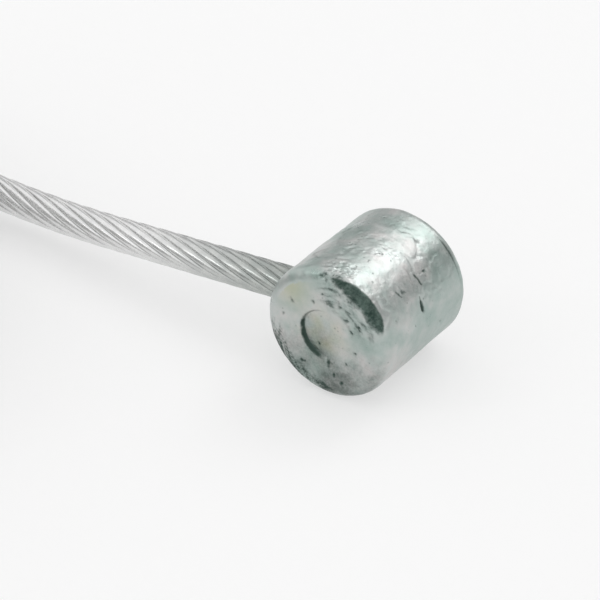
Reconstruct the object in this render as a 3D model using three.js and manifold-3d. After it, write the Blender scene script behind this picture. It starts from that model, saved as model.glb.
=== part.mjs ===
// Inner cable of a bicycle rim brake, at real size in millimetres, +Z up.
// A steel strand carries a die-cast zinc barrel at one end, which seats in the brake lever.
// The barrel lies on its side at the origin, its axis along Y and its marked end at -Y. The
// cable leaves it towards -X, comes down to the table and is wound into a round coil that two
// paper-covered wire ties hold. The free end is fused, so that the wires don't fray.

import * as THREE from "three";
import { mergeVertices } from "three/addons/utils/BufferGeometryUtils.js";
import Module from "manifold-3d";

const wasm = await Module();
wasm.setup();

// Barrel
const barrelDiameter = 7.0;
const barrelLength = 7.2;
const barrelEdge = 0.58;
const barrelFacets = 48;
const markDiameter = 2.8;
const markDepth = 0.25;
const markDraft = 0.12;

// Cable
const cableDiameter = 1.8;
const cableSides = 8;
const cableSlope = 0.1051;
const cableSideShift = -0.4;
const splayDiameter = 3.2;
const splayLength = 2.6;
const splayStart = -1.2;
const splayWidens = 0.15;
const splayWidest = 0.62;
const splayCloses = 0.88;
const splayTopShare = 0.8;
const castClearance = 0.25;
const holePastSide = 2.0;
const jointGap = 0.3;
const runSteps = 11;

// Coil
const coilTurns = 3.75;
const coilLevels = 5;
const turnSpacing = 0.05;
const coilRadius = 17.2;
const coilStartX = -33.4;
const coilStartZ = 1.5;
const coilSegments = 72;

// Free end, in degrees from the end of the coil's top turn
const tailFromAngle = 65;
const tailToAngle = 315;
const tailAngleStep = 10;
const tailInwardBy = 90;
const tailTightensFrom = 180;
const tailTightensOver = 70;
const tailFallsFrom = 30;
const tailFallsOver = 270;
const tailSteps = 18;
const tailRadius = 7.5;
const tailEndRadius = 6.9;
const tailHeight = 1.0;
const tipLength = 4.0;
const tipWall = 0.02;
const tipRounding = 0.35;

// Ties
const tieWidth = 3.0;
const tieThickness = 0.4;
const tieClearance = 0.2;
const tieCorner = 0.9;
const tieAngles = [160, 320];
const tieTwistLength = 6.0;
const tieTwistWidth = 1.2;
const tieTwistDepth = 0.8;
const tieTwistTurns = 1.5;
const tieTwistSteps = 24;

// Facets of the small round forms
const edgeSteps = 5;
const cornerSteps = 3;
const holeSides = 24;
const tipSides = 16;

// The cable's centre line from the barrel to the coil, as x and z.
const runRoute = [
  [-1.5, 3.33],
  [-3.5, 3.12],
  [-6.5, 2.81],
  [-9.5, 2.49],
  [-12.5, 2.18],
  [-15.5, 1.87],
  [-17.0, 1.73],
  [-18.5, 1.62],
  [-20.0, 1.55],
  [-21.5, 1.51],
  [-23.0, 1.5],
  [-24.8, 1.5],
];

const cableRadius = cableDiameter / 2;
const barrelRadius = barrelDiameter / 2;
const barrelHalf = barrelLength / 2;
const axisHeight = barrelRadius * Math.cos(Math.PI / barrelFacets);
const turnPitch = cableDiameter + turnSpacing;
const coilCentre = new THREE.Vector3(coilStartX, cableSideShift - coilRadius, 0);
const coilInnerRadius = coilRadius - coilTurns * turnPitch;
const ringInner = coilInnerRadius - cableRadius - turnSpacing;
const ringOuter = coilRadius + cableRadius;
const ringBottom = coilStartZ - cableRadius;
const ringTop = coilStartZ + (coilLevels - 1) * turnPitch + cableRadius;
const topLevel = coilStartZ + (coilLevels - 1) * turnPitch;
const coilEndDegrees = 90 + 360 * coilTurns * coilLevels;

const zinc = new THREE.MeshStandardMaterial({ color: 0x9ba3a1, roughness: 0.45, metalness: 0.9 });
const steel = new THREE.MeshStandardMaterial({ color: 0xc9ccca, roughness: 0.3, metalness: 1.0 });
const fusedSteel = new THREE.MeshStandardMaterial({ color: 0x8f8f8b, roughness: 0.4, metalness: 1.0 });
const tiePaper = new THREE.MeshStandardMaterial({ color: 0xe8e6df, roughness: 0.7, metalness: 0.0 });

// A closed geometry as a solid that can be joined and cut.
function toSolid(geometry) {
  const bare = geometry.clone();
  bare.deleteAttribute("normal");
  bare.deleteAttribute("uv");
  const merged = mergeVertices(bare, 1e-4);
  const mesh = new wasm.Mesh({
    numProp: 3,
    vertProperties: Float32Array.from(merged.attributes.position.array),
    triVerts: Uint32Array.from(merged.index.array),
  });
  return new wasm.Manifold(mesh);
}

function toGeometry(solid) {
  const mesh = solid.getMesh();
  const geometry = new THREE.BufferGeometry();
  geometry.setAttribute("position", new THREE.BufferAttribute(mesh.vertProperties, 3));
  geometry.setIndex(new THREE.BufferAttribute(mesh.triVerts, 1));
  geometry.computeVertexNormals();
  return geometry;
}

function named(name, geometry, material) {
  const mesh = new THREE.Mesh(geometry, material);
  mesh.name = name;
  return mesh;
}

// A quarter round between two straight runs of an outline.
function quarterRound(centreX, centreY, radius, fromAngle, toAngle, steps) {
  const points = [];
  for (let i = 0; i <= steps; i += 1) {
    const angle = fromAngle + ((toAngle - fromAngle) * i) / steps;
    points.push(new THREE.Vector2(
      centreX + radius * Math.cos(angle),
      centreY + radius * Math.sin(angle),
    ));
  }
  return points;
}

// The outline of a box with rounded corners, from its lower right corner up and round.
function roundedBox(left, bottom, right, top, corner) {
  const quarter = Math.PI / 2;
  const corners = [
    [right - corner, bottom + corner],
    [right - corner, top - corner],
    [left + corner, top - corner],
    [left + corner, bottom + corner],
  ];
  return corners.flatMap(([x, y], i) => (
    quarterRound(x, y, corner, (i - 1) * quarter, i * quarter, cornerSteps)
  ));
}

// Lays a turned piece, made about its own Y axis, along a direction.
function lieAlong(geometry, direction, start) {
  const turn = new THREE.Quaternion().setFromUnitVectors(new THREE.Vector3(0, 1, 0), direction);
  geometry.applyQuaternion(turn);
  geometry.translate(start.x, start.y, start.z);
  return geometry;
}

function cableAxis() {
  return new THREE.Vector3(1, 0, cableSlope).normalize();
}

function pointOnAxis(x) {
  return new THREE.Vector3(x, cableSideShift, axisHeight + cableSlope * x);
}

// The splayed wires inside the casting widen from the cable's own size, which is what keeps
// the cable from pulling out. Grown by a wall, the same outline makes the hollow around them.
function splayedEnd(wall) {
  const narrow = cableRadius + wall;
  const wide = splayDiameter / 2 + wall;
  const profile = [
    new THREE.Vector2(0, -wall),
    new THREE.Vector2(narrow, -wall),
    new THREE.Vector2(narrow, splayWidens * splayLength),
    new THREE.Vector2(wide, splayWidest * splayLength),
    new THREE.Vector2(wide, splayCloses * splayLength),
    new THREE.Vector2(wide * splayTopShare, splayLength + wall),
    new THREE.Vector2(0, splayLength + wall),
  ];
  const splay = new THREE.LatheGeometry(profile, holeSides);
  return lieAlong(splay, cableAxis(), pointOnAxis(splayStart));
}

function barrelBody() {
  const face = barrelHalf;
  const core = barrelRadius - barrelEdge;
  const profile = [
    new THREE.Vector2(0, -face + markDepth),
    new THREE.Vector2(markDiameter / 2 - markDraft, -face + markDepth),
    new THREE.Vector2(markDiameter / 2, -face),
    ...quarterRound(core, -face + barrelEdge, barrelEdge, -Math.PI / 2, 0, edgeSteps),
    ...quarterRound(core, face - barrelEdge, barrelEdge, 0, Math.PI / 2, edgeSteps),
    new THREE.Vector2(0, face),
  ];
  const body = new THREE.LatheGeometry(profile, barrelFacets);
  body.rotateY(Math.PI / barrelFacets);
  body.translate(0, 0, axisHeight);
  return body;
}

// The hole that the cable comes out of, from the hollow to past the barrel's side.
function cableHole() {
  const reach = barrelRadius + holePastSide;
  const length = reach + splayStart;
  const hole = new THREE.CylinderGeometry(
    cableRadius + castClearance,
    cableRadius + castClearance,
    length,
    holeSides,
  );
  hole.translate(0, length / 2, 0);
  return lieAlong(hole, cableAxis(), pointOnAxis(-reach));
}

function barrelNipple() {
  const hollow = toSolid(splayedEnd(castClearance)).add(toSolid(cableHole()));
  return toGeometry(toSolid(barrelBody()).subtract(hollow));
}

function roundSection(radius, sides) {
  const section = new THREE.Shape();
  for (let i = 0; i < sides; i += 1) {
    const angle = (2 * Math.PI * i) / sides;
    if (i === 0) {
      section.moveTo(radius, 0);
    } else {
      section.lineTo(radius * Math.cos(angle), radius * Math.sin(angle));
    }
  }
  section.closePath();
  return section;
}

function tube(points, radius, steps) {
  return new THREE.ExtrudeGeometry(roundSection(radius, cableSides), {
    steps,
    bevelEnabled: false,
    extrudePath: new THREE.CatmullRomCurve3(points, false, "centripetal"),
  });
}

function cableRun() {
  const points = runRoute.map(([x, z]) => new THREE.Vector3(x, cableSideShift, z));
  return tube(points, cableRadius, runSteps);
}

// The outer shape of the wound turns: one ring with rounded corners.
function coilRing() {
  const profile = roundedBox(ringInner, ringBottom, ringOuter, ringTop, cableRadius);
  profile.push(profile[0].clone());
  const ring = new THREE.LatheGeometry(profile, coilSegments);
  ring.rotateX(Math.PI / 2);
  ring.translate(coilCentre.x, coilCentre.y, 0);
  return ring;
}

function ease(t) {
  const held = Math.min(1, Math.max(0, t));
  return 0.5 - 0.5 * Math.cos(Math.PI * held);
}

// The free end makes most of a turn inside the coil's hole and comes down to the table.
function tailPoint(angle) {
  const inward = ease(angle / tailInwardBy);
  const tightened = ease((angle - tailTightensFrom) / tailTightensOver);
  const fallen = ease((angle - tailFallsFrom) / tailFallsOver);
  const wide = coilInnerRadius + (tailRadius - coilInnerRadius) * inward;
  const radius = wide + (tailEndRadius - tailRadius) * tightened;
  const height = topLevel + (tailHeight - topLevel) * fallen;
  const turned = ((coilEndDegrees + angle) * Math.PI) / 180;
  return new THREE.Vector3(
    coilCentre.x + radius * Math.cos(turned),
    coilCentre.y + radius * Math.sin(turned),
    height,
  );
}

function tailDirection() {
  const turned = ((coilEndDegrees + tailToAngle) * Math.PI) / 180;
  return new THREE.Vector3(-Math.sin(turned), Math.cos(turned), 0);
}

function cableTail() {
  const points = [];
  for (let angle = tailFromAngle; angle <= tailToAngle; angle += tailAngleStep) {
    points.push(tailPoint(angle));
  }
  return tube(points, cableRadius, tailSteps);
}

// The wires' ends are fused into one short rod with a rounded nose.
function solderedTip() {
  const radius = cableRadius + tipWall;
  const profile = [
    new THREE.Vector2(0, 0),
    new THREE.Vector2(radius, 0),
    ...quarterRound(
      radius - tipRounding,
      tipLength - tipRounding,
      tipRounding,
      0,
      Math.PI / 2,
      cornerSteps,
    ),
    new THREE.Vector2(0, tipLength),
  ];
  const start = tailPoint(tailToAngle).addScaledVector(tailDirection(), jointGap);
  return lieAlong(new THREE.LatheGeometry(profile, tipSides), tailDirection(), start);
}

// The two ends of the tie, wound round each other into a short twisted bar.
function tieTwist(band) {
  const bar = new THREE.BoxGeometry(
    tieTwistDepth,
    tieTwistWidth,
    tieTwistLength,
    1,
    1,
    tieTwistSteps,
  );
  const position = bar.attributes.position;
  for (let i = 0; i < position.count; i += 1) {
    const along = position.getZ(i) / tieTwistLength;
    const turn = along * tieTwistTurns * 2 * Math.PI;
    const x = position.getX(i);
    const y = position.getY(i);
    position.setX(i, x * Math.cos(turn) - y * Math.sin(turn));
    position.setY(i, x * Math.sin(turn) + y * Math.cos(turn));
  }
  bar.translate(band.right + tieThickness / 2, (band.bottom + band.top) / 2, tieTwistLength / 2);
  return bar;
}

// One tie: a flat band round the wound turns, closed by the twist at the coil's outer side.
function coilTie(angle) {
  const margin = tieClearance + tieThickness;
  const band = {
    left: ringInner - margin,
    right: ringOuter + margin,
    bottom: ringBottom - margin,
    top: ringTop + margin,
  };
  const outline = new THREE.Shape(
    roundedBox(band.left, band.bottom, band.right, band.top, tieCorner + tieThickness),
  );
  outline.holes.push(new THREE.Path(roundedBox(
    band.left + tieThickness,
    band.bottom + tieThickness,
    band.right - tieThickness,
    band.top - tieThickness,
    tieCorner,
  )));
  const loop = new THREE.ExtrudeGeometry(outline, { depth: tieWidth, bevelEnabled: false });
  loop.translate(0, 0, -tieWidth / 2);
  const tie = toGeometry(toSolid(loop).add(toSolid(tieTwist(band))));
  const turned = (angle * Math.PI) / 180;
  const outward = new THREE.Vector3(Math.cos(turned), Math.sin(turned), 0);
  const up = new THREE.Vector3(0, 0, 1);
  const across = new THREE.Vector3().crossVectors(outward, up);
  const place = new THREE.Matrix4().makeBasis(outward, up, across);
  place.setPosition(coilCentre);
  tie.applyMatrix4(place);
  return tie;
}

const brakeCable = new THREE.Group();
brakeCable.add(named("barrel_nipple", barrelNipple(), zinc));
brakeCable.add(named("splayed_wire_end", splayedEnd(0), steel));
brakeCable.add(named("cable_run", cableRun(), steel));
brakeCable.add(named("cable_coil", coilRing(), steel));
brakeCable.add(named("cable_tail", cableTail(), steel));
brakeCable.add(named("soldered_tip", solderedTip(), fusedSteel));
tieAngles.forEach((angle, i) => {
  brakeCable.add(named(`coil_tie_${i + 1}`, coilTie(angle), tiePaper));
});

export default brakeCable;
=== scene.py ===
# %% [markdown]
# # A bicycle brake's inner cable
# The real object is one steel strand with a zinc barrel cast on its end. The barrel seats in the
# brake lever, and the strand pulls the brake. Everything here is in metres and in the frame of the
# measured model, which the first cell loads. That model gives sizes and places, and this script
# gives the surfaces.

# %% Load the measured model
import math
import random

import bmesh
import bpy
from mathutils import Matrix, Vector, noise
from mathutils.kdtree import KDTree


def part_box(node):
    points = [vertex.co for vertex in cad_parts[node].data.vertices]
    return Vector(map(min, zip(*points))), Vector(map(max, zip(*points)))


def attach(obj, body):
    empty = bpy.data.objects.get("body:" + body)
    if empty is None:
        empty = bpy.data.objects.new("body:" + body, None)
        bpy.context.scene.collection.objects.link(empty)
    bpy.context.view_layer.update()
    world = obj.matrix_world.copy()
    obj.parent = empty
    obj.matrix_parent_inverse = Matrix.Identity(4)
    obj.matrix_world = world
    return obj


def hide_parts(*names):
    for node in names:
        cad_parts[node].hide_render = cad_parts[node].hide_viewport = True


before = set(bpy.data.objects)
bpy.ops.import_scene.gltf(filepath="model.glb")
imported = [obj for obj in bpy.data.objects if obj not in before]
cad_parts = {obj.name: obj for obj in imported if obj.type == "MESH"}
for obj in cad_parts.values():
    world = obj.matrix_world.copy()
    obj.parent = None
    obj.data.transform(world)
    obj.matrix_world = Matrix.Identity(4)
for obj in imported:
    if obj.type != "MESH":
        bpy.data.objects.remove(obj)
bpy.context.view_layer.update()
MM = 0.001
print("nodes:", sorted(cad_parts))

# %% [markdown]
# ## The camera
# The photograph looks down on the barrel from the front right, with a long lens. A camera that
# aims along its own -Z needs three directions: right, up and back. They follow from two angles,
# and the place follows from the distance to the barrel's middle and how far the barrel stands
# from the picture's middle.

# %% Place the camera
AZIMUTH = math.radians(35.4)
ELEVATION = math.radians(34.3)
LENS = 156.1
CAMERA_DISTANCE = 126.2 * MM
BARREL_RIGHT_OF_CENTRE = 3.255 * MM
BARREL_BELOW_CENTRE = 0.053 * MM

barrel_low, barrel_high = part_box("barrel_nipple")
barrel_centre = (barrel_low + barrel_high) / 2

right = Vector((math.cos(AZIMUTH), math.sin(AZIMUTH), 0))
back = Vector((
    math.sin(AZIMUTH) * math.cos(ELEVATION),
    -math.cos(AZIMUTH) * math.cos(ELEVATION),
    math.sin(ELEVATION),
))
up = back.cross(right)
aim = barrel_centre - BARREL_RIGHT_OF_CENTRE * right + BARREL_BELOW_CENTRE * up
eye = aim + CAMERA_DISTANCE * back

camera = bpy.data.objects.new("camera", bpy.data.cameras.new("camera"))
bpy.context.scene.collection.objects.link(camera)
camera.matrix_world = Matrix((
    (right.x, up.x, back.x, eye.x),
    (right.y, up.y, back.y, eye.y),
    (right.z, up.z, back.z, eye.z),
    (0, 0, 0, 1),
))
camera.data.lens = LENS
camera.data.clip_start = 1 * MM
bpy.context.scene.camera = camera
print("camera at", [round(v / MM, 1) for v in eye], "mm")

# %% [markdown]
# ## The cable's route
# The strand leaves the barrel on a slight slope and comes down to the table. These points are
# the measured model's own, as x and z in millimetres. A smooth curve through them is a
# Catmull-Rom spline: each stretch bends towards its neighbours' direction.
# The route is worked out in millimetres and brought to metres at the end.

# %% The stretch from the barrel to the coil
CABLE_DIAMETER = 1.8 * MM
SIDE_SHIFT = -0.4
SLOPE = 0.1051
COIL_START_X = -33.4
COIL_START_Z = 1.5
RUN_ROUTE = [
    (-1.5, 3.33), (-3.5, 3.12), (-6.5, 2.81), (-9.5, 2.49), (-12.5, 2.18), (-15.5, 1.87),
    (-17.0, 1.73), (-18.5, 1.62), (-20.0, 1.55), (-21.5, 1.51), (-23.0, 1.5), (-24.8, 1.5),
    (-29.0, COIL_START_Z), (COIL_START_X, COIL_START_Z),
]
RUN_STEPS = 12


def smooth_through(points, per_stretch):
    """Points on a Catmull-Rom spline through the given ones."""
    ends = [2 * points[0] - points[1], *points, 2 * points[-1] - points[-2]]
    made = []
    for a, b, c, d in zip(ends, ends[1:], ends[2:], ends[3:]):
        for i in range(per_stretch):
            t = i / per_stretch
            made.append(0.5 * (
                2 * b + (c - a) * t + (2 * a - 5 * b + 4 * c - d) * t * t
                + (3 * b - a - 3 * c + d) * t ** 3
            ))
    return made + [points[-1]]


run_line = smooth_through([Vector((x, SIDE_SHIFT, z)) for x, z in RUN_ROUTE], RUN_STEPS)
print("run:", len(run_line), "points")

# %% [markdown]
# ## The coil and the free end
# A spare cable is stored wound up, so the length that the photograph doesn't show lies in a neat
# round coil on the table. A loop works out its turns: nearly four go inwards, as many go back
# outwards on top of them, and so on for five layers. The free end then makes most of a turn
# inside the hole and comes down to the table.

# %% Wind the coil
TURNS = 3.75
LEVELS = 5
TURN_PITCH = 1.85
COIL_RADIUS = 17.2
STEPS_PER_TURN = 180
LEVEL_CHANGE = 1 / 6
TAIL_RADIUS = 7.5
TAIL_END_RADIUS = 6.9
TAIL_HEIGHT = 1.0
TAIL_DEGREES = 315
TAIL_INWARD_BY = 90
TAIL_TIGHTENS_FROM = 180
TAIL_TIGHTENS_OVER = 70
TAIL_FALLS_FROM = 30
TAIL_FALLS_OVER = 270
TIP_LENGTH = 4.0
TIP_GAP = 0.3
INTO_TIP = 0.5 * MM

coil_inner = COIL_RADIUS - TURNS * TURN_PITCH
top_level = COIL_START_Z + (LEVELS - 1) * TURN_PITCH
coil_centre = Vector((COIL_START_X, SIDE_SHIFT - COIL_RADIUS, 0))


def ease(t):
    """Goes from 0 to 1 with a soft start and a soft end."""
    held = min(1, max(0, t))
    return 0.5 - 0.5 * math.cos(math.pi * held)


def on_coil(degrees, radius, height):
    angle = math.radians(90 + degrees)
    return coil_centre + Vector((radius * math.cos(angle), radius * math.sin(angle), height))


def coil_point(turn):
    """Odd layers wind inwards and even ones outwards, each a step above the last."""
    level = min(int(turn / TURNS), LEVELS - 1)
    wound = turn - level * TURNS
    inwards = wound if level % 2 == 0 else TURNS - wound
    rise = ease(wound / LEVEL_CHANGE) - 1 if level > 0 else 0
    height = COIL_START_Z + TURN_PITCH * (level + rise)
    return on_coil(360 * turn, COIL_RADIUS - TURN_PITCH * inwards, height)


def tail_point(degrees):
    moved_in = ease(degrees / TAIL_INWARD_BY)
    tightened = ease((degrees - TAIL_TIGHTENS_FROM) / TAIL_TIGHTENS_OVER)
    fallen = ease((degrees - TAIL_FALLS_FROM) / TAIL_FALLS_OVER)
    radius = coil_inner + (TAIL_RADIUS - coil_inner) * moved_in
    radius += (TAIL_END_RADIUS - TAIL_RADIUS) * tightened
    height = top_level + (TAIL_HEIGHT - top_level) * fallen
    return on_coil(wound_degrees + degrees, radius, height)


wound_degrees = 360 * TURNS * LEVELS
total_steps = round(TURNS * LEVELS * STEPS_PER_TURN)
coil_line = [coil_point(i / STEPS_PER_TURN) for i in range(1, total_steps + 1)]
tail_line = [tail_point(i) for i in range(1, TAIL_DEGREES + 1)]
last = wound_degrees + TAIL_DEGREES
tail_direction = (on_coil(last + 0.5, 1, 0) - on_coil(last - 0.5, 1, 0)).normalized()
tip_end = tail_line[-1] + tail_direction * (TIP_GAP + TIP_LENGTH)
centre_line = [p * MM for p in run_line + coil_line + tail_line + [tip_end]]
print("coil:", len(coil_line), "points, tail:", len(tail_line), "points")

# %% [markdown]
# A strand's detail has to be even along its length, so the line is measured out again at equal
# steps. Each ring of the strand also needs two directions across the line. They are carried along
# from ring to ring with the least turning, so that only the strand's own lay twists it.

# %% Measure the line out in even steps


class Line:
    """A polyline that gives the point at a distance from its start."""

    def __init__(self, points):
        self.points = points
        self.reach = [0.0]
        for a, b in zip(points, points[1:]):
            self.reach.append(self.reach[-1] + (b - a).length)
        self.length = self.reach[-1]

    def at(self, distance, index):
        """The point at a distance, searched from the stretch index onwards, and its stretch."""
        while index < len(self.points) - 2 and self.reach[index + 1] < distance:
            index += 1
        span = self.reach[index + 1] - self.reach[index]
        t = (distance - self.reach[index]) / span
        return self.points[index].lerp(self.points[index + 1], t), index


def stations(line, distances):
    """The point and the two crossing directions at each distance along the line."""
    places = []
    index = 0
    for distance in distances:
        place, index = line.at(distance, index)
        places.append(place)
    made = []
    side = Vector((0, 1, 0))
    for i, place in enumerate(places):
        ahead = (places[min(i + 1, len(places) - 1)] - places[max(i - 1, 0)]).normalized()
        side = (side - side.dot(ahead) * ahead).normalized()
        made.append((place, side, ahead.cross(side)))
    return made


cable_line = Line(centre_line)
print("cable from the casting to its tip:", round(cable_line.length, 4), "m")

# %% [markdown]
# ## The strand
# The cable is nineteen drawn wires, and twelve of them show. They lie in a right-hand twist, and
# the whole strand was drawn smooth, so each wire is flattened on its outside and fine grooves
# part it from the next. A flat grid is rolled up round the line: its columns run round the strand
# and its rows run along it. Each wire gets one flat hump, and no two lie at quite one height.

# %% Roll a grid round the line
WIRES = 12
LAY_LENGTH = 15.0 * MM
GROOVE_DEPTH = 0.10 * MM
GROOVE_SHARPNESS = 3.2
FINE_LENGTH = 30 * MM
FINE_STEP = 0.22 * MM
COIL_STEP = 1.08 * MM
FINE_PER_WIRE = 10
COIL_PER_WIRE = 4
WIRE_HEIGHTS = (-0.008, 0.004)
SAME_PLACE = 1e-8
NEARLY_SAME_PLACE = 1e-7

random.seed(7)
wire_height = [random.uniform(*WIRE_HEIGHTS) * MM for _ in range(WIRES)]


def wire_outline(turn):
    """The strand's radius at a share of a turn round it, seen from the wires' own twist."""
    place = (turn % 1) * WIRES
    wire = int(place) % WIRES
    across = abs(2 * (place - int(place)) - 1)
    hump = across ** GROOVE_SHARPNESS
    return CABLE_DIAMETER / 2 + wire_height[wire] - GROOVE_DEPTH * hump


def grid_tube(rings, around, outline):
    """A closed tube: a flat grid whose rows are rings. outline gives a radius and an angle."""
    mesh = bmesh.new()
    bmesh.ops.create_grid(mesh, x_segments=len(rings) - 1, y_segments=around, size=0.5)
    for v in mesh.verts:
        row = round((v.co.x + 0.5) * (len(rings) - 1))
        column = round((v.co.y + 0.5) * around)
        place, side, over = rings[row]
        radius, angle = outline(row, column / around)
        v.co = place + radius * (math.cos(angle) * side + math.sin(angle) * over)
    bmesh.ops.remove_doubles(mesh, verts=mesh.verts, dist=SAME_PLACE)
    close_ends(mesh)
    return mesh


def close_ends(mesh):
    open_edges = [e for e in mesh.edges if e.is_boundary]
    bmesh.ops.holes_fill(mesh, edges=open_edges, sides=0)
    bmesh.ops.recalc_face_normals(mesh, faces=mesh.faces)


def as_object(name, mesh):
    """The bmesh as an object at the origin."""
    data = bpy.data.meshes.new(name)
    mesh.to_mesh(data)
    mesh.free()
    made = bpy.data.objects.new(name, data)
    bpy.context.scene.collection.objects.link(made)
    return made


def finished(name, mesh):
    """A piece of the part, shaded smooth but for the flat faces that close its ends."""
    piece = as_object(name, mesh)
    data = piece.data
    for polygon in data.polygons:
        polygon.use_smooth = len(polygon.vertices) < 5
    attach(piece, "root")
    triangles = sum(len(p.vertices) - 2 for p in data.polygons)
    print(name, "has", triangles, "triangles")
    return piece


def even_distances(start, end, step):
    count = max(1, round((end - start) / step))
    return [start + (end - start) * i / count for i in range(count + 1)]


tip_start = cable_line.length - (TIP_GAP + TIP_LENGTH) * MM
strand_end = tip_start + INTO_TIP
fine_distances = even_distances(0, FINE_LENGTH, FINE_STEP)
coil_distances = even_distances(FINE_LENGTH, strand_end, COIL_STEP)


def twisted(distances):
    """An outline for grid_tube, in which the wires turn by the lay."""
    def outline(row, share):
        twist = 2 * math.pi * distances[row] / LAY_LENGTH
        return wire_outline(share), 2 * math.pi * share + twist
    return outline


print("rings:", len(fine_distances), "fine and", len(coil_distances), "in the coil")

# %% [markdown]
# The stretch near the barrel is seen closely and is modelled finely. Where the coil begins, a
# ring has fewer points. Both tubes share one mesh. Where they meet, the points that lie on each
# other are merged and the slits between them are filled, so the strand stays one closed skin.

# %% Make the strand
SEAM_REACH = 0.3 * MM

all_distances = fine_distances + coil_distances[1:]
all_rings = stations(cable_line, all_distances)
fine_rings = all_rings[:len(fine_distances)]
coil_rings = all_rings[len(fine_distances) - 1:]

strand_mesh = grid_tube(fine_rings, WIRES * FINE_PER_WIRE, twisted(fine_distances))
coil_mesh = grid_tube(coil_rings, WIRES * COIL_PER_WIRE, twisted(coil_distances))
joined = bpy.data.meshes.new("coil_part")
coil_mesh.to_mesh(joined)
coil_mesh.free()
strand_mesh.from_mesh(joined)
bpy.data.meshes.remove(joined)
ends = [f for f in strand_mesh.faces if len(f.verts) > 4]
seam = fine_rings[-1][0]
inner_ends = [f for f in ends if (f.calc_center_median() - seam).length < SEAM_REACH]
seam_points = [v for f in inner_ends for v in f.verts]
bmesh.ops.delete(strand_mesh, geom=inner_ends, context="FACES_ONLY")
bmesh.ops.remove_doubles(strand_mesh, verts=seam_points, dist=NEARLY_SAME_PLACE)
slit_edges = [e for e in strand_mesh.edges if e.is_boundary]
bmesh.ops.holes_fill(strand_mesh, edges=slit_edges, sides=0)
print("seam:", len(inner_ends), "ends opened,", len(slit_edges), "edges closed")
strand = finished("brake_strand", strand_mesh)

# %% [markdown]
# ## The zinc barrel
# Molten zinc was cast round the wires in a small die. The barrel is a turned shape, so a half
# outline is spun round the barrel's axis. The outline runs from the middle of the marked end,
# over its shallow round mark and the rounded edge, along the side and back to the axis.

# %% Spin the barrel
BARREL_RADIUS = 3.5 * MM
BARREL_HALF = 3.6 * MM
EDGE = 0.58 * MM
MARK_RADIUS = 1.4 * MM
MARK_DEPTH = 0.2 * MM
MARK_WALL = 0.09 * MM
SPIN_STEPS = 320
GRAIN = 0.065 * MM


def stretch(start, end):
    """Points from start up to but not at end, one grain apart."""
    count = max(1, round((Vector(end) - Vector(start)).length / GRAIN))
    return [Vector(start).lerp(Vector(end), i / count) for i in range(count)]


def rounded(centre, radius, from_angle, to_angle):
    """The same along a round edge."""
    count = max(2, round(radius * abs(to_angle - from_angle) / GRAIN))
    made = []
    for i in range(count):
        angle = from_angle + (to_angle - from_angle) * i / count
        made.append(Vector((
            centre[0] + radius * math.cos(angle), centre[1] + radius * math.sin(angle))))
    return made


core = BARREL_RADIUS - EDGE
floor_of_mark = -BARREL_HALF + MARK_DEPTH
half_outline = [
    *stretch((0, floor_of_mark), (MARK_RADIUS - MARK_WALL, floor_of_mark)),
    *stretch((MARK_RADIUS - MARK_WALL, floor_of_mark), (MARK_RADIUS, -BARREL_HALF)),
    *stretch((MARK_RADIUS, -BARREL_HALF), (core, -BARREL_HALF)),
    *rounded((core, -BARREL_HALF + EDGE), EDGE, -math.pi / 2, 0),
    *stretch((BARREL_RADIUS, -BARREL_HALF + EDGE), (BARREL_RADIUS, BARREL_HALF - EDGE)),
    *rounded((core, BARREL_HALF - EDGE), EDGE, 0, math.pi / 2),
    *stretch((core, BARREL_HALF), (0, BARREL_HALF)),
    Vector((0, BARREL_HALF)),
]

barrel_mesh = bmesh.new()
outline_verts = [barrel_mesh.verts.new((p.x, p.y, 0)) for p in half_outline]
outline_edges = [barrel_mesh.edges.new(pair) for pair in zip(outline_verts, outline_verts[1:])]
bmesh.ops.spin(
    barrel_mesh, geom=outline_verts + outline_edges, cent=(0, 0, 0), axis=(0, 1, 0),
    dvec=(0, 0, 0), angle=2 * math.pi, steps=SPIN_STEPS, use_merge=True,
    use_normal_flip=False, use_duplicate=False)
bmesh.ops.remove_doubles(barrel_mesh, verts=barrel_mesh.verts, dist=NEARLY_SAME_PLACE)
bmesh.ops.recalc_face_normals(barrel_mesh, faces=barrel_mesh.faces)
print("barrel spun:", len(barrel_mesh.verts), "vertices")

# %% [markdown]
# The round mark in the end is deep at its left and runs out into the face at its right, as the
# photograph shows. So its floor is tilted: each point inside it is drawn forwards by its place.

# %% Tilt the mark's floor
MARK_FILL = 0.95
FILL_LEAN = 0.35
FILL_FROM = -1.2
FILL_FULL = 0.6


def step_up(value, low, high):
    """0 below low, 1 above high and smooth in between."""
    t = min(1.0, max(0.0, (value - low) / (high - low)))
    return t * t * (3 - 2 * t)


filled = 0
for v in barrel_mesh.verts:
    radius = math.hypot(v.co.x, v.co.z)
    if v.co.y < 0 and radius < MARK_RADIUS:
        deep = min(1, (MARK_RADIUS - radius) / MARK_WALL)
        towards_right = v.co.x / MM + FILL_LEAN * v.co.z / MM
        right_part = step_up(towards_right, FILL_FROM, FILL_FULL)
        v.co.y -= MARK_DEPTH * MARK_FILL * deep * right_part
        filled += 1
print("points in the mark:", filled)

# %% [markdown]
# A small casting is never quite true. Its skin is slightly lumpy, cold metal has left wrinkles
# where it folded, gas has left pits and handling has left a nick. Each of these moves the skin in
# or out by a few hundredths of a millimetre, along its own normal. Places on the end are given as
# x and z in millimetres, and places on the side as y in millimetres and degrees round the axis,
# from +X up towards +Z.

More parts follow.
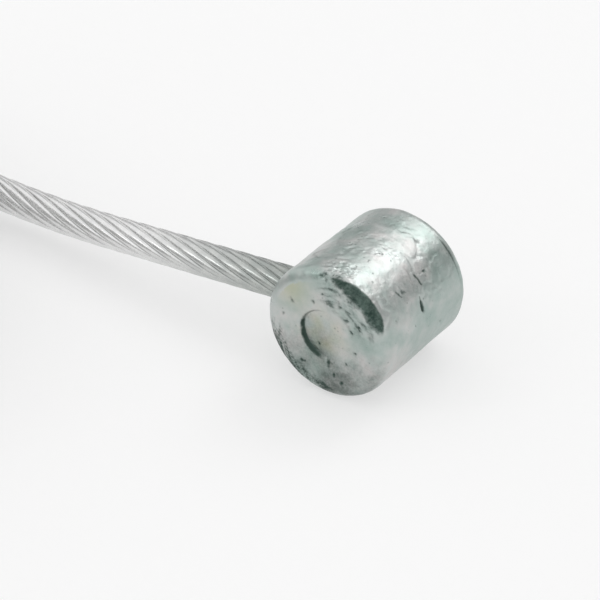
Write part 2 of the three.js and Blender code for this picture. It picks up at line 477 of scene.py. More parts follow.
# %% Describe the casting's marks
PITS = [
    (-0.67, 1.69, 0.13), (-1.91, 1.31, 0.16), (-0.42, -0.72, 0.09), (0.23, -1.51, 0.16),
    (1.01, -2.38, 0.12), (1.31, 2.42, 0.10), (1.20, 1.35, 0.14), (1.55, 0.75, 0.11),
    (0.85, 1.95, 0.12), (1.75, -0.35, 0.10), (1.25, -1.15, 0.09), (-1.35, -1.95, 0.12),
    (-2.45, 0.35, 0.08), (0.55, -2.05, 0.08), (1.95, 1.25, 0.12), (-0.15, 2.35, 0.09),
]
SIDE_PITS = [
    (1.9, 62, 0.12), (-1.1, 38, 0.13), (0.9, 41, 0.12), (-2.3, 24, 0.10), (2.2, 100, 0.12),
    (-0.6, 99, 0.11), (1.2, -8, 0.12), (-1.9, -20, 0.10), (0.2, 150, 0.13), (-1.3, 205, 0.12),
    (2.0, 240, 0.14), (-0.4, 285, 0.12), (1.4, 320, 0.11), (-2.2, 300, 0.12), (0.6, 180, 0.10),
]


def on_side(y, degrees):
    angle = math.radians(degrees)
    return Vector((BARREL_RADIUS * math.cos(angle), y * MM, BARREL_RADIUS * math.sin(angle)))


# Each nick runs from one place to another, with its half width in millimetres and its strength.
NICKS = [
    (on_side(-0.16, 27), on_side(-0.19, 21), 0.10, 0.6),
    (on_side(-0.19, 21.5), on_side(-0.23, 16), 0.20, 1.0),
    (on_side(0.20, 43), on_side(0.30, 34), 0.11, 0.55),
    (on_side(-1.42, 42), on_side(-1.30, 36), 0.10, 0.5),
    (on_side(0.9, 222), on_side(1.3, 214), 0.12, 0.7),
]
ROUGH_SPOT = on_side(-2.98, 85)
side_pit_places = [(on_side(y, degrees), size * MM) for y, degrees, size in SIDE_PITS]
cable_direction = Vector((1, 0, SLOPE)).normalized()
cable_through = Vector((0, SIDE_SHIFT * MM, 0))
print("marks:", len(PITS) + len(SIDE_PITS), "pits and", len(NICKS), "nicks")

# %% [markdown]
# A mark's edge is uneven, and noise makes it so. These helpers give noise at a scale in waves per
# millimetre, the distance to a nick and to the cable, and the worm-like folds.

# %% Measure and roughen


def fine_noise(place, per_mm, seed):
    return noise.noise(place / MM * per_mm + Vector((seed, 2.3 * seed, -1.7 * seed)))


def rough_noise(place, per_mm, octaves, seed):
    point = place / MM * per_mm + Vector((seed, -seed, 1.9 * seed))
    return noise.fractal(point, 0.8, 2.1, octaves)


def clamp(value):
    return min(1.0, max(0.0, value))


def bell(distance, width):
    """1 at no distance, soft, and nearly 0 past twice the width."""
    return math.exp(-((distance / width) ** 2))


def within(value, arc):
    """1 between the two middle values of an arc, 0 outside the outer two, soft in between."""
    return step_up(value, arc[0], arc[1]) * (1 - step_up(value, arc[2], arc[3]))


def to_segment(place, start, end):
    along = end - start
    t = clamp((place - start).dot(along) / along.length_squared)
    return (place - start - t * along).length


def from_cable(place):
    offset = place - cable_through
    return (offset - offset.dot(cable_direction) * cable_direction).length


def pit_at(distance, size, unevenness):
    return math.exp(-((distance * (1 + 0.9 * unevenness) / size) ** 2) * 1.6)


def folds_at(place, per_mm, width, seed):
    """Worm-like folds in patches: the narrow line where a noise passes through zero."""
    warp = Vector([fine_noise(place, 0.7 * per_mm, seed + i) for i in (1, 2, 3)])
    line = 1 - clamp(abs(fine_noise(place + 0.35 * MM * warp, per_mm, seed)) / width)
    patch = step_up(fine_noise(place, 0.45, seed + 9), -0.02, 0.22)
    return line * patch


nearest_nick = min(to_segment(ROUGH_SPOT, start, end) for start, end, _, _ in NICKS)
print("rough spot to the nearest nick:", round(nearest_nick / MM, 2), "mm")

# %% [markdown]
# Every mark is a function of the place alone, so it doesn't matter how fine the mesh is. Moves are
# in millimetres and tones are shares of darkening, from dirt and from painted shade: 1 is the full
# dark tone.

# %% The skin all round
LUMP, SMALL_LUMP, RIPPLE = 0.026, 0.012, 0.010
WIDE_FOLD, FINE_FOLD, SKIN_GRAIN = 0.025, 0.018, 0.005
WIDE_FOLD_SHADE, FINE_FOLD_SHADE = 0.08, 0.06
FOLDS_ON_FACE, FOLDS_BELOW, FOLDS_ABOVE = 0.25, 0.45, 1.05
PIT_DEPTH, PIT_SHADE = 0.045, 0.55
NICK_DEPTH, NICK_SHADE = 0.07, 0.95


def lumps(place, on_face):
    """The skin's slow lumps, its folds and its grain, and the painted shade in the folds."""
    wide_folds = folds_at(place, 1.5, 0.17, 11)
    fine_folds = folds_at(place, 3.1, 0.20, 47)
    upper = step_up(place.z / MM, 0.6, 2.6) * step_up(2.6 - place.y / MM, 0, 1.2)
    strength = FOLDS_ON_FACE if on_face else FOLDS_BELOW + FOLDS_ABOVE * upper
    move = LUMP * fine_noise(place, 0.55, 1) + SMALL_LUMP * fine_noise(place, 1.6, 2)
    move += RIPPLE * strength * fine_noise(place, 2.7, 15)
    move -= strength * (WIDE_FOLD * wide_folds + FINE_FOLD * fine_folds)
    move += SKIN_GRAIN * rough_noise(place, 4.0, 3, 4)
    return move, strength * (WIDE_FOLD_SHADE * wide_folds + FINE_FOLD_SHADE * fine_folds)


def pits(place, on_face):
    unevenness = fine_noise(place, 6.5, 29)
    if on_face:
        near = ((math.hypot(place.x / MM - x, place.z / MM - z), size) for x, z, size in PITS)
    else:
        near = (((place - spot).length, size) for spot, size in side_pit_places)
    return sum(pit_at(distance, size, unevenness) for distance, size in near)


def nicks(place):
    """The move of all nicks at a place, and the painted shade in them."""
    move = dark = 0
    for start, end, width, strength in NICKS:
        nick = clamp(1 - to_segment(place, start, end) / (width * MM))
        nick *= 1 + 0.5 * fine_noise(place, 5.0, 33)
        move -= NICK_DEPTH * strength * step_up(nick, 0, 0.9)
        dark += NICK_SHADE * strength * step_up(nick, 0.1, 0.8)
    return move, dark


print("deepest nick:", NICK_DEPTH * max(strength for _, _, _, strength in NICKS), "mm")

# %% [markdown]
# The marked end is dirtiest between the round mark and the painted reflection band, where streaks
# follow the edge, and it carries painted shade towards its bottom. The round mark has painted
# shade at its left rim and inside it, and a warm tint.

# %% The marked end
FACE_TONE = 0.10
STREAK_TONE = 0.66
LOW_FACE_SHADE = 0.46
MARK_RIM_SHADE = 0.9
MARK_INSIDE_SHADE = 0.24
MARK_WARMTH = 0.55
CORNER_WARMTH = 0.6
RIM_TURN = 156


def face_streaks_and_shade(radius, turned):
    """Dark streaks between the mark and the reflection band, and painted shade at the lower left.
    """
    part = 0.18 * step_up(turned, -112, -70) + 0.82 * step_up(turned, 8, 30)
    part *= 1 - step_up(turned, 84, 112)
    part *= step_up(radius, 1.45, 1.9)
    lower_left_shade = step_up(radius, 2.3, 3.0) * step_up(abs(turned + 132), 62, 30)
    around = math.radians(turned) * radius
    streak = noise.fractal(Vector((3.4 * radius, 1.5 * around, 7.0)), 0.8, 2.2, 5)
    blotch = noise.fractal(Vector((2.6 * radius, 2.1 * around, 19.0)), 0.35, 2.2, 5)
    return part * clamp(0.36 + 0.85 * streak) + lower_left_shade * clamp(0.30 + 0.9 * blotch)


def face_tone(place, radius, turned):
    """How dark the end is: a little all over, dirt in streaks, painted shade towards its bottom.
    """
    # The lower part of the end is darkened: painted shade.
    lower_face = step_up(-place.z / MM, -0.5, 2.3)
    lower_face_shade = LOW_FACE_SHADE * lower_face * clamp(0.85 + 0.6 * fine_noise(place, 1.1, 81))
    return FACE_TONE + STREAK_TONE * face_streaks_and_shade(radius / MM, turned) + lower_face_shade


def mark_tones(place, radius, turned):
    """The painted shade at the mark's left rim and inside it, and the mark's and corner's warm
    tint.
    """
    rim = bell(radius - MARK_RADIUS + 0.05 * MM, 0.075 * MM)
    rim *= 0.8 + 0.7 * fine_noise(place, 2.4, 71)
    # The mark's left rim and its inside are darkened: painted shade.
    dark = MARK_RIM_SHADE * rim * step_up(math.cos(math.radians(turned + RIM_TURN)), 0.35, 0.85)
    in_mark = bell(math.hypot(place.x / MM + 0.15, place.z / MM), 1.15)
    dark += MARK_INSIDE_SHADE * in_mark
    warm = MARK_WARMTH * in_mark * (0.7 + fine_noise(place, 1.7, 51))
    corner = bell(math.hypot(place.x / MM + 2.0, place.z / MM - 2.1), 0.9)
    return dark, warm + CORNER_WARMTH * corner


print("mark's rim at", round(MARK_RADIUS / MM, 2), "mm from the middle")

# %% [markdown]
# Five marks belong to the side: a band of painted dark reflection under the bright band, a spot of
# rough chips by the marked end's edge, with painted shade where they dent in, a line at the rear
# edge, a small collar of zinc with a warm tint where the cable comes out, and a band of painted
# dark reflection on the front edge. The band's place on that edge is an angle too: 0 degrees at
# the face and 90 at the side.

# %% The side
DARK_BAND_TONE = 0.34
DARK_BAND_ARC = (24, 36, 46, 58)
SPOT_RADIUS = 1.05 * MM
CHIP_HEIGHT = 0.13
CHIP_SHADE = 1.3
LINE_DEPTH = 0.02
LINE_TONE = 0.45
LINE_ARC = (4, 26, 48, 66)
COLLAR_HEIGHT = 0.22
COLLAR_WIDTH = 0.16 * MM
ROOT_WARMTH = 0.9
ROOT_WIDTH = 0.55 * MM
BAND_LOW_END, BAND_THINS, BAND_TOP_END = (15, 37), (58, 90), (98, 126)
BAND_MIDDLE, BAND_HALF_WIDTH = 50, 34


def rough_spot(place):
    near_spot = clamp(1 - (place - ROUGH_SPOT).length / SPOT_RADIUS)
    chips = near_spot ** 0.6 * rough_noise(place, 5.5, 3, 6)
    # Where the chips dent in, the colour is darkened: painted shade.
    return CHIP_HEIGHT * chips, CHIP_SHADE * clamp(-chips)


def rear_line(place, turned):
    line = bell(place.y - BARREL_HALF + EDGE, 0.07 * MM) * within(turned, LINE_ARC)
    return -LINE_DEPTH * line, LINE_TONE * line


def cable_root(place, on_face):
    """The move of the collar and the warm tint round the place where the cable comes out."""
    root = from_cable(place) - CABLE_DIAMETER / 2
    at_root = place.x < 0 and not on_face
    collar = math.exp(-max(0, root) / COLLAR_WIDTH) if at_root else 0
    warm = ROOT_WARMTH * bell(root, ROOT_WIDTH) if place.x < -1.2 * MM else 0
    return COLLAR_HEIGHT * collar, warm


def edge_reflection_band(place):
    """A band of painted dark reflection on the rounded front edge, widest in its middle."""
    radius = math.hypot(place.x, place.z)
    if radius < core - 0.35 * MM or place.y > -BARREL_HALF + EDGE + 0.25 * MM:
        return 0
    turned = math.degrees(math.atan2(place.z, place.x))
    along = step_up(turned, *BAND_LOW_END) * (1 - 0.82 * step_up(turned, *BAND_THINS))
    along *= 1 - step_up(turned, *BAND_TOP_END)
    edge_angle = math.degrees(math.atan2(radius - core, -BARREL_HALF + EDGE - place.y))
    middle = BAND_MIDDLE - 0.15 * (turned - 50) - 0.25 * max(0, turned - 65)
    width = BAND_HALF_WIDTH * along + 1
    outer_edge = middle + width + 3 * fine_noise(place, 1.6, 31)
    ragged = 9 * fine_noise(place, 2.6, 37) + 8 * fine_noise(place, 7.0, 41)
    inner_edge = middle - width + ragged
    inside = step_up(edge_angle, inner_edge - 30, inner_edge + 16)
    inside *= 1 - step_up(edge_angle, outer_edge - 9, outer_edge + 9)
    return inside * min(1, 2.6 * along)


print("smear and rear line between", DARK_BAND_ARC[0], "and", LINE_ARC[-1], "degrees")

# %% [markdown]
# Now the marks are added up once for each point of the skin, as seen from the barrel's middle. The
# same pass writes down how dark the metal is there from dirt, painted shade and painted
# reflection, where the painted dark reflection lies on its front edge and how warm it is, in
# attributes that the zinc's material reads later.

# %% Move the skin and note its tones


def skin_marks(place):
    """The move along the normal, and the tones, at a point of the barrel's skin."""
    radius = math.hypot(place.x, place.z)
    turned = math.degrees(math.atan2(place.z, place.x))
    on_face = place.y < -BARREL_HALF + MARK_DEPTH + 0.02 * MM and radius < core
    frontness = step_up(-place.y, BARREL_HALF - EDGE, BARREL_HALF - 0.3 * EDGE)
    move, dark = lumps(place, on_face)
    holes = pits(place, on_face)
    move -= PIT_DEPTH * holes
    # The pits are darkened by their depth: painted shade.
    dark += PIT_SHADE * holes
    if frontness > 0:
        dark += frontness * face_tone(place, radius, turned)
    # A band just under the bright band, all along the side, is darkened: painted dark reflection.
    under_band_dark = within(turned, DARK_BAND_ARC) * (1 - frontness)
    dark += DARK_BAND_TONE * under_band_dark * clamp(0.9 + 0.8 * fine_noise(place, 0.9, 61))
    for added_move, added_dark in (nicks(place), rough_spot(place), rear_line(place, turned)):
        move += added_move
        dark += added_dark
    collar, warm = cable_root(place, on_face)
    move += collar
    if on_face:
        mark_shade, mark_warm = mark_tones(place, radius, turned)
        dark += mark_shade
        warm += mark_warm
    return move * MM, dark, warm


barrel_mesh.normal_update()
dark_layer = barrel_mesh.verts.layers.float.new("dark")
edge_reflection_layer = barrel_mesh.verts.layers.float.new("oxide")
warm_layer = barrel_mesh.verts.layers.float.new("warm")
moves = []
for v in barrel_mesh.verts:
    move, dark, warm = skin_marks(v.co)
    v[dark_layer] = clamp(dark)
    v[edge_reflection_layer] = edge_reflection_band(v.co)
    v[warm_layer] = clamp(warm)
    moves.append((v, v.normal * move))
for v, offset in moves:
    v.co += offset
    v.co.z += barrel_centre.z
    v.co.z = max(v.co.z, 0)
barrel = finished("zinc_barrel", barrel_mesh)
print("farthest move:", round(max(offset.length for _, offset in moves) / MM, 3), "mm")

# %% [markdown]
# ## The fused tip
# The free end is fused with heat so that the wires don't fray. The wires can still be made out at
# its root and run together towards a rounded nose.

# %% Make the tip
TIP_STEP = 0.12 * MM
TIP_NOSE = 0.5 * MM
NOSE_DROP = 0.82
MELTED_OVER = 3.0 * MM
DARKENED_OVER = 1.4 * MM
TIP_SWELL = 0.012 * MM
TIP_RIPPLE = 0.02 * MM
POINTS_PER_WIRE = 5

tip_distances = even_distances(tip_start, cable_line.length, TIP_STEP)
tip_rings = stations(cable_line, all_distances + tip_distances)[len(all_distances):]


def tip_outline(row, share):
    along = tip_distances[row] - tip_start
    left = cable_line.length - tip_distances[row]
    molten = step_up(along, 0, MELTED_OVER)
    wires = wire_outline(share)
    plain = CABLE_DIAMETER / 2 + TIP_SWELL
    radius = wires + (plain - wires) * molten
    ripple = math.sin(5 * share * 2 * math.pi + 9 * along / MM)
    radius += TIP_RIPPLE * ripple * molten * (1 - molten)
    nose = max(0.0, 1 - left / TIP_NOSE)
    radius *= math.sqrt(max(0.0, 1 - NOSE_DROP * nose * nose))
    twist = 2 * math.pi * tip_distances[row] / LAY_LENGTH
    return radius, 2 * math.pi * share + twist


tip = finished("fused_tip", grid_tube(tip_rings, WIRES * POINTS_PER_WIRE, tip_outline))
molten_share = tip.data.attributes.new("molten", "FLOAT", "POINT")
for i, v in enumerate(tip.data.vertices):
    molten_share.data[i].value = clamp((v.co - tip_rings[0][0]).length / DARKENED_OVER)

# %% [markdown]
# ## The ties
# Two ties hold the coil: paper strips with a thin steel wire down the middle. Each goes once round
# the wound turns, and its two ends are twisted together at the coil's outer side. The strip is a
# grid again, rolled into a flat tube along a line, with a small hump where the wire is.

# %% Lay a strip
TIE_WIDTH = 3.0
TIE_THICKNESS = 0.16
TIE_WIRE = 0.42
TIE_COLUMNS = 12
WIRE_SPREAD = 0.55
FLATNESS = (0.6, 0.5)


def flattened(value, power):
    return math.copysign(abs(value) ** power, value)


def add_strip(mesh, sections):
    """A closed strip. A section is a middle, a width way, an outward way and a width."""
    rows = len(sections) - 1
    grid = bmesh.ops.create_grid(
        mesh, x_segments=rows, y_segments=2 * TIE_COLUMNS, size=0.5)["verts"]
    for v in grid:
        middle, width_way, outward, width = sections[round((v.co.x + 0.5) * rows)]
        angle = 2 * math.pi * ((v.co.y + 0.5) % 1)
        across = flattened(math.cos(angle), FLATNESS[0])
        thick = flattened(math.sin(angle), FLATNESS[1]) * TIE_THICKNESS / 2
        if abs(math.sin(angle)) > 0.02:
            hump = math.exp(-((across * width / WIRE_SPREAD) ** 2))
            thick += math.copysign(hump * (TIE_WIRE - TIE_THICKNESS) / 2, math.sin(angle))
        v.co = (middle + width_way * across * width / 2 + outward * thick) * MM
    bmesh.ops.remove_doubles(mesh, verts=grid, dist=SAME_PLACE)


print("a strip has", 2 * TIE_COLUMNS, "faces round it")

# %% [markdown]
# A tie's line goes round the ring of turns with rounded corners. It is worked out as points across
# and up, in the plane that cuts the coil at the tie's angle.

# %% Make the ties
TIE_ANGLES = {"coil_tie_1": 160, "coil_tie_2": 320}
TIE_CLEARANCE = 0.2
TURN_GAP = 0.05
TIE_CORNER = 1.1
CORNER_STEPS = 8
TIE_LEAN = 0.5
TWIST_LENGTH = 5.6
TWIST_TURNS = 2.5
TWIST_STEPS = 28
TWIST_WIDTH = 1.5
TWIST_RADIUS = 0.231
TWIST_OUT = 0.45
TWIST_ASIDE = 0.4

turn_to_tie = CABLE_DIAMETER / MM / 2 + TIE_CLEARANCE + TIE_WIRE / 2
ring_inner = coil_inner - TURN_GAP - turn_to_tie
ring_outer = COIL_RADIUS + turn_to_tie
ring_low = COIL_START_Z - turn_to_tie
ring_high = top_level + turn_to_tie


def tie_path():
    """The strip's middle line round the turns, as points across and up, with their normals."""
    corners = [
        (ring_outer - TIE_CORNER, ring_low + TIE_CORNER, -90),
        (ring_outer - TIE_CORNER, ring_high - TIE_CORNER, 0),
        (ring_inner + TIE_CORNER, ring_high - TIE_CORNER, 90),
        (ring_inner + TIE_CORNER, ring_low + TIE_CORNER, 180),
    ]
    made = []
    for x, z, first in corners:
        for i in range(CORNER_STEPS + 1):
            angle = math.radians(first + 90 * i / CORNER_STEPS)
            out = (math.cos(angle), math.sin(angle))
            made.append((x + TIE_CORNER * out[0], z + TIE_CORNER * out[1], out))
    return made


def make_tie(node, degrees):
    angle = math.radians(degrees)
    outward = Vector((math.cos(angle), math.sin(angle), 0))
    across = outward.cross(Vector((0, 0, 1)))
    level = Vector((0, 0, 1))
    twist_middle = coil_centre + outward * (ring_outer + TWIST_OUT)
    twist_middle += level * (ring_low + ring_high) / 2

    def twisted_end(first_turn):
        made = []
        for i in range(TWIST_STEPS + 1):
            t = i / TWIST_STEPS
            turn = 2 * math.pi * TWIST_TURNS * t + first_turn
            axis = twist_middle + across * (TWIST_ASIDE + TWIST_LENGTH * t)
            round_way = level * math.cos(turn) + outward * math.sin(turn)
            flat_way = level * -math.sin(turn) + outward * math.cos(turn)
            made.append((axis + round_way * TWIST_RADIUS, flat_way, round_way, TWIST_WIDTH))
        return made

    loop = tie_path()
    sections = twisted_end(math.pi)[::-1]
    for k, (x, z, (out, up_share)) in enumerate(loop):
        lean = TIE_LEAN * (k / (len(loop) - 1) - 0.5)
        middle = coil_centre + outward * x + level * z + across * lean
        sections.append((middle, across, outward * out + level * up_share, TIE_WIDTH))
    mesh = bmesh.new()
    add_strip(mesh, sections + twisted_end(0))
    close_ends(mesh)
    tie = finished(node.replace("coil_tie", "paper_tie"), mesh)
    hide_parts(node)
    return tie


ties = [make_tie(node, degrees) for node, degrees in TIE_ANGLES.items()]

# %% [markdown]
# ## Shader maths
# A material's pattern is a chain of small nodes. Writing it as sums is easier to read, so one
# class wraps a socket and turns each Python operator into a Math node. Every other node comes
# from one method that takes its type, its settings and what goes into its sockets.

# %% Sums that build nodes


class Signal:
    """The output of a node, which can be added, multiplied and compared."""

    def __init__(self, finish, socket):
        self.finish = finish
        self.socket = socket

    def maths(self, operation, *values):
        return self.finish.node(
            "ShaderNodeMath", {"operation": operation}, dict(enumerate(values)))

    def __add__(self, other):
        return self.maths("ADD", self, other)

    def __sub__(self, other):
        return self.maths("SUBTRACT", self, other)

    def __rsub__(self, other):
        return self.maths("SUBTRACT", other, self)

    def __mul__(self, other):
        return self.maths("MULTIPLY", self, other)

    __radd__ = __add__
    __rmul__ = __mul__


class Finish:
    """A material under construction."""

    def __init__(self, name):
        self.material = bpy.data.materials.new(name)
        self.material.use_nodes = True
        self.tree = self.material.node_tree
        self.tree.nodes.clear()
        self.output = self.tree.nodes.new("ShaderNodeOutputMaterial")

    def fill(self, node, values):
        for key, value in values.items():
            if isinstance(value, Signal):
                self.tree.links.new(value.socket, node.inputs[key])
            else:
                node.inputs[key].default_value = value

    def node(self, kind, settings=None, values=None, output=0):
        made = self.tree.nodes.new(kind)
        for key, value in (settings or {}).items():
            if key == "stops":
                self.set_stops(made.color_ramp, value)
            else:
                setattr(made, key, value)
        self.fill(made, values or {})
        return Signal(self, made.outputs[output])

    def set_stops(self, ramp, stops):
        while len(ramp.elements) < len(stops):
            ramp.elements.new(0.5)
        for element, (position, tone) in zip(ramp.elements, stops):
            element.position = position
            element.color = (*tone, 1)

    def in_mm(self):
        """The place on the piece, in millimetres."""
        place = self.node("ShaderNodeTexCoord", output="Object")
        return self.node(
            "ShaderNodeVectorMath", {"operation": "SCALE"}, {0: place, "Scale": 1 / MM})

    def noise(self, place, scale, detail=3.0, roughness=0.5):
        return self.node("ShaderNodeTexNoise", {}, {
            "Vector": place, "Scale": scale, "Detail": detail, "Roughness": roughness})

    def between(self, value, low, high):
        """0 below low, 1 above high and smooth in between."""
        return self.node(
            "ShaderNodeMapRange", {"interpolation_type": "SMOOTHSTEP"},
            {"Value": value, "From Min": low, "From Max": high})

    def blend(self, share, first, second):
        mixed = {0: share, 6: first, 7: second}
        return self.node("ShaderNodeMix", {"data_type": "RGBA"}, mixed, output=2)

    def attribute(self, name):
        return self.node("ShaderNodeAttribute", {"attribute_name": name}, output="Fac")

    def bump(self, height, strength, distance):
        return self.node("ShaderNodeBump", {}, {
            "Height": height, "Strength": strength, "Distance": distance}, output="Normal")

    def principled(self, values):
        return self.node("ShaderNodeBsdfPrincipled", {}, values)

    def show(self, shader):
        """Makes a shader the material's surface."""
        self.tree.links.new(shader.socket, self.output.inputs["Surface"])
        print(self.material.name, "has", len(self.tree.nodes), "nodes")
        return self.material

    def surface(self, values):
        return self.show(self.principled(values))


def colour(red, green, blue):
    return (red, green, blue, 1)


print("shader helpers ready")

# %% [markdown]
# ## Cast zinc
# Zinc that came out of a die is grey with a green tone, and paler and slightly pink where the skin
# is smoother. The painted shade in folds and pits and the painted dark reflection on the front
# edge are nearly black. The colour is mixed from a wide noise for the patches, a fine one for the
# grain and the tones noted on the skin.

# %% Finish the barrel
zinc = Finish("cast_zinc")
place = zinc.in_mm()
patches = zinc.between(zinc.noise(place, 0.42, 3.0, 0.55), 0.335, 0.62)
smears = zinc.between(zinc.noise(place, 1.1, 5.0, 0.6), 0.30, 0.74)
grain = zinc.noise(place, 9.0, 4.0, 0.6)
green_grey = zinc.blend(smears, colour(0.335, 0.415, 0.385), colour(0.445, 0.51, 0.485))
pale_grey = zinc.blend(smears, colour(0.505, 0.545, 0.53), colour(0.61, 0.59, 0.58))
body = zinc.blend(patches, green_grey, pale_grey)
warm_body = zinc.blend(zinc.attribute("warm"), body, colour(0.45, 0.46, 0.30))
# The dark attribute holds dirt streaks together with painted shade and painted reflection.
dirt_and_shade = zinc.between(zinc.attribute("dark") + 0.36 * (grain - 0.5), 0.10, 0.95)
dirt_and_shade_body = zinc.blend(dirt_and_shade, warm_body, colour(0.055, 0.085, 0.072))
# The front edge's band is a painted dark reflection, mottled in dark green.
edge_reflection_mottle = zinc.between(zinc.noise(place, 3.4, 5.0, 0.7), 0.34, 0.70)
edge_reflection_green = zinc.blend(edge_reflection_mottle, colour(0.028, 0.058, 0.047), colour(0.095, 0.145, 0.122))
oxide = zinc.between(zinc.attribute("oxide") + 0.45 * (grain - 0.5), 0.10, 1.05)
edge_reflected_body = zinc.blend(0.94 * oxide, dirt_and_shade_body, edge_reflection_green)
specks = zinc.node("ShaderNodeTexVoronoi", {}, {"Vector": place, "Scale": 3.1}, output="Distance")
speck_patch = zinc.between(zinc.noise(place, 0.8, 2.0), 0.50, 0.62)
speck = (1 - zinc.between(specks, 0.08, 0.22)) * speck_patch
zinc_colour = zinc.blend(0.45 * speck, edge_reflected_body, colour(0.14, 0.18, 0.165))
crumple = zinc.noise(place, 2.6, 6.0, 0.62)
height = 0.8 * crumple + 0.3 * grain - 0.5 * speck
cast_zinc = zinc.surface({
    "Base Color": zinc_colour,
    "Metallic": 0.9,
    "Roughness": 0.27 + 0.16 * smears + 0.22 * dirt_and_shade + 0.25 * oxide,
    "Normal": zinc.bump(height, 0.26, 0.12 * MM),
})
barrel.data.materials.append(cast_zinc)
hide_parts("barrel_nipple")

# %% [markdown]
# ## Drawn steel
# The wires are bright, with painted shade in the grooves between them. How deep a point lies in
# a groove is written on the strand's own skin, so the shade follows the wires round the whole
# coil. Near the casting the wires are painted dull and dark, for the dull grey reflection they
# show there, as the photograph shows.

# %% Note the strand's grooves and how near the casting it lies
DULL_FROM = 1.5 * MM
DULL_TO = 12 * MM


def strand_attributes(piece, rings, distances):
    """Writes how deep each point lies in a groove, and how near the casting it is, as 0 to 1."""
    depths = piece.data.attributes.new("groove", "FLOAT", "POINT")
    nearness = piece.data.attributes.new("near_casting", "FLOAT", "POINT")
    tree = KDTree(len(rings))
    for i, (place, _, _) in enumerate(rings):
        tree.insert(place, i)
    tree.balance()
    for i, v in enumerate(piece.data.vertices):
        near, index, _ = tree.find(v.co)
        ahead = rings[index][1].cross(rings[index][2])
        offset = v.co - near
        radius = (offset - offset.dot(ahead) * ahead).length
        depths.data[i].value = clamp((CABLE_DIAMETER / 2 - radius) / GROOVE_DEPTH)
        dull_near_casting = 1 - clamp((distances[index] - DULL_FROM) / (DULL_TO - DULL_FROM))
        nearness.data[i].value = dull_near_casting


strand_attributes(strand, all_rings, all_distances)
print("stained from", DULL_FROM / MM, "to", DULL_TO / MM, "mm")

# %% Finish the strand
steel = Finish("drawn_steel")
place = steel.in_mm()
deep = steel.attribute("groove")
dull_near_casting = steel.attribute("near_casting")
streak = steel.between(steel.noise(place, 1.4, 4.0, 0.6), 0.3, 0.7)
grime = steel.noise(place, 6.0, 3.0, 0.6)
bright_wire = steel.blend(streak, colour(0.76, 0.76, 0.76), colour(0.84, 0.84, 0.835))
dull = steel.blend(streak, colour(0.25, 0.285, 0.265), colour(0.36, 0.385, 0.36))
# Near the casting the wires are painted dull and dark, for the dull grey reflection they show
# there.
bare = steel.blend(dull_near_casting, bright_wire, dull)
# The grooves are darkened by their depth: painted shade, strongest near the casting.
groove_shade = steel.between(deep + 0.3 * (grime - 0.5), 0.55, 1.10)
groove_darkening = groove_shade * (0.10 + 0.62 * dull_near_casting)
steel_colour = steel.blend(groove_darkening, bare, colour(0.15, 0.175, 0.165))
drawn_steel = steel.surface({
    "Base Color": steel_colour,
    "Metallic": 1.0,
    "Roughness": 0.21 + 0.08 * streak + 0.20 * groove_shade,
    "Normal": steel.bump(grime, 0.12, 0.03 * MM),
})
strand.data.materials.append(drawn_steel)
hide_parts("cable_run", "cable_coil", "cable_tail")

# %% [markdown]
# Inside the casting the wires are spread. Nothing shows them, so the measured model's own solid is
# kept and only given a finish: steel with the scale of the heat on it.

# %% Finish the spread end
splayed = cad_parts["splayed_wire_end"]
splayed.data.materials.clear()
splayed_finish = Finish("splayed_steel")
place = splayed_finish.in_mm()
scale = splayed_finish.noise(place, 3.0, 4.0, 0.6)
splayed.data.materials.append(splayed_finish.surface({
    "Base Color": splayed_finish.blend(scale, colour(0.30, 0.30, 0.30), colour(0.62, 0.62, 0.61)),
    "Metallic": 1.0,
    "Roughness": 0.3 + 0.2 * scale,
}))

# %% [markdown]
# Heat colours steel, from straw through brown to blue, and leaves it a little rough. A colour ramp
# on a slow noise gives those tints, and they fade in where the wires run together.

# %% Finish the tip
fused = Finish("fused_steel")
place = fused.in_mm()
tint = fused.noise(place, 0.9, 4.0, 0.55)
grit = fused.noise(place, 7.0, 4.0, 0.6)
melted = fused.between(fused.attribute("molten") + (grit - 0.5), 0.10, 0.75)
fused_colour = fused.node("ShaderNodeValToRGB", {"stops": [
    (0.30, (0.30, 0.29, 0.28)), (0.48, (0.46, 0.43, 0.38)), (0.62, (0.40, 0.33, 0.30)),
    (0.75, (0.24, 0.26, 0.33)),
]}, {"Fac": tint})
tip.data.materials.append(fused.surface({
    "Base Color": fused.blend(melted, colour(0.70, 0.70, 0.69), fused_colour),
    "Metallic": 1.0,
    "Roughness": 0.30 + 0.25 * grit,
    "Normal": fused.bump(grit, 0.2, 0.04 * MM),
}))
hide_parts("soldered_tip")

# %% [markdown]
# ## Tie paper
# The ties are off-white paper, pressed flat over their wire. Paper shows fine fibres and a few
# soft creases, and it is never glossy.

# %% Finish the ties
paper = Finish("tie_paper")
place = paper.in_mm()
fibres = paper.noise(place, 5.5, 5.0, 0.65)
stain = paper.noise(place, 0.5, 3.0, 0.5)
paper_colour = paper.blend(
    paper.between(fibres, 0.3, 0.7), colour(0.70, 0.68, 0.62), colour(0.84, 0.82, 0.77))
paper_colour = paper.blend(0.35 * stain, paper_colour, colour(0.62, 0.58, 0.50))
tie_paper = paper.surface({
    "Base Color": paper_colour,
    "Roughness": 0.75 + 0.15 * fibres,
    "Normal": paper.bump(fibres, 0.35, 0.05 * MM),
})
for tie in ties:
    tie.data.materials.append(tie_paper)

# %% [markdown]
# ## Table and light
# A plain pale table holds the object's shadow. A metal shows what stands round it, so the table
# and the sky are whiter where a ray meets them straight or in a reflection than they are as a
# light. Half of the table's look is plain white for such rays, and the other half is its own
# lit surface, which keeps the shadow.

# %% Set the table
TABLE_SIZE = 6.0
TABLE_TONES = (colour(0.95, 0.95, 0.95), colour(0.97, 0.97, 0.97))
TABLE_WHITE_SHARE = 0.5


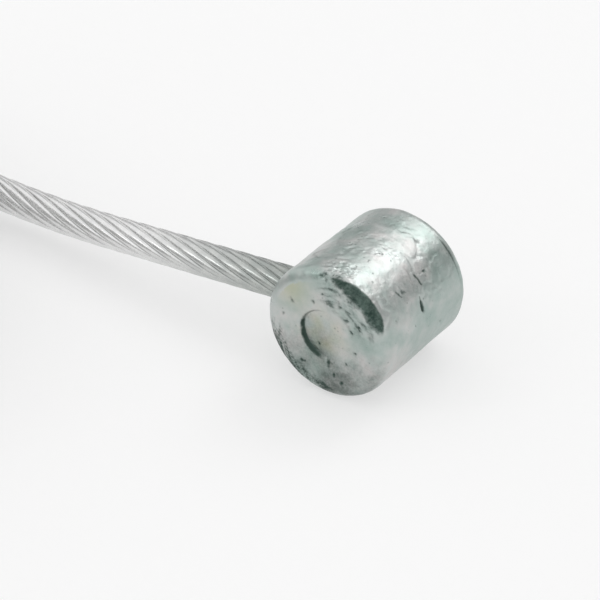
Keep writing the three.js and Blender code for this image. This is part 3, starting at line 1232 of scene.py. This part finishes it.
def seen_directly(tree):
    """A socket that is 1 for camera, reflection and transmission rays, and 0 for the others."""
    rays = tree.nodes.new("ShaderNodeLightPath")
    seen = rays.outputs["Is Camera Ray"]
    for name in ("Is Glossy Ray", "Is Transmission Ray"):
        most = tree.nodes.new("ShaderNodeMath")
        most.operation = "MAXIMUM"
        tree.links.new(seen, most.inputs[0])
        tree.links.new(rays.outputs[name], most.inputs[1])
        seen = most.outputs[0]
    return seen


table_mesh = bmesh.new()
bmesh.ops.create_grid(table_mesh, x_segments=1, y_segments=1, size=TABLE_SIZE / 2)
table = as_object("table", table_mesh)
table_finish = Finish("table_white")
place = table_finish.in_mm()
cloud = table_finish.noise(place, 0.02, 2.0)
lit_table = table_finish.principled({
    "Base Color": table_finish.blend(cloud, *TABLE_TONES), "Roughness": 0.9})
plain_white = table_finish.node(
    "ShaderNodeEmission", {}, {"Color": colour(1, 1, 1), "Strength": 1.0})
white_share = TABLE_WHITE_SHARE * Signal(table_finish, seen_directly(table_finish.tree))
table.data.materials.append(table_finish.show(table_finish.node(
    "ShaderNodeMixShader", {}, {0: white_share, 1: lit_table, 2: plain_white})))

# %% [markdown]
# Polished metal needs something darker to show beside the white, or it looks like paper. A grey
# card stands in a curve behind the table, well outside the picture, and its reflection runs as a
# darker band under and over the bright one.

# %% Stand the grey card
CARD_DISTANCE = 0.42
CARD_LOW = 0.012
CARD_HIGH = 0.27
CARD_FROM = 22
CARD_TO = 158
CARD_PARTS = 34

card_mesh = bmesh.new()
bmesh.ops.create_grid(card_mesh, x_segments=CARD_PARTS, y_segments=1, size=0.5)
for v in card_mesh.verts:
    turned = math.radians(CARD_FROM + (CARD_TO - CARD_FROM) * (v.co.x + 0.5))
    height = CARD_LOW + (CARD_HIGH - CARD_LOW) * (v.co.y + 0.5)
    v.co = (CARD_DISTANCE * math.cos(turned), CARD_DISTANCE * math.sin(turned), height)
card = as_object("grey_card", card_mesh)
card_finish = Finish("card_grey")
card.data.materials.append(card_finish.surface({
    "Base Color": colour(0.62, 0.62, 0.62),
    "Roughness": 0.9,
}))
print("card stands", CARD_DISTANCE, "m behind the barrel")

# %% [markdown]
# The sky is one even white. Camera and reflection rays see it at full strength, and as a light it
# is softer, so that the lamps still draw the shapes. One soft lamp behind and above draws the
# bright band along the barrel, and a weak one in front lights the marked end.

# %% Light the scene
SKY_LIGHT = 0.86

world = bpy.data.worlds.new("white_room")
bpy.context.scene.world = world
world.use_nodes = True
sky = world.node_tree
sky.nodes.clear()
sky_output = sky.nodes.new("ShaderNodeOutputWorld")
lamp_side = sky.nodes.new("ShaderNodeBackground")
seen_side = sky.nodes.new("ShaderNodeBackground")
either = sky.nodes.new("ShaderNodeMixShader")
lamp_side.inputs["Strength"].default_value = SKY_LIGHT
seen_side.inputs["Strength"].default_value = 1.0
for background in (lamp_side, seen_side):
    background.inputs["Color"].default_value = colour(1, 1, 1)
sky.links.new(seen_directly(sky), either.inputs[0])
sky.links.new(lamp_side.outputs[0], either.inputs[1])
sky.links.new(seen_side.outputs[0], either.inputs[2])
sky.links.new(either.outputs[0], sky_output.inputs["Surface"])


def soft_lamp(name, direction, distance, width, height, power):
    """A lamp that stands off the barrel and shines at it."""
    lamp = bpy.data.lights.new(name, "AREA")
    lamp.shape = "RECTANGLE"
    lamp.size = width
    lamp.size_y = height
    lamp.energy = power
    stand = bpy.data.objects.new(name, lamp)
    bpy.context.scene.collection.objects.link(stand)
    way = Vector(direction).normalized()
    stand.location = barrel_centre + way * distance
    stand.rotation_euler = way.to_track_quat("Z", "Y").to_euler()
    print(name, "at", [round(c, 3) for c in stand.location], "m with", power, "W")


soft_lamp(
    "back_lamp", (0.10, 0.67, 0.73), distance=0.35, width=0.18, height=0.18, power=0.165)
soft_lamp(
    "front_lamp", (-0.55, -0.55, 0.63), distance=0.50, width=0.05, height=0.20, power=0.09)
bpy.context.scene.view_settings.view_transform = "Standard"
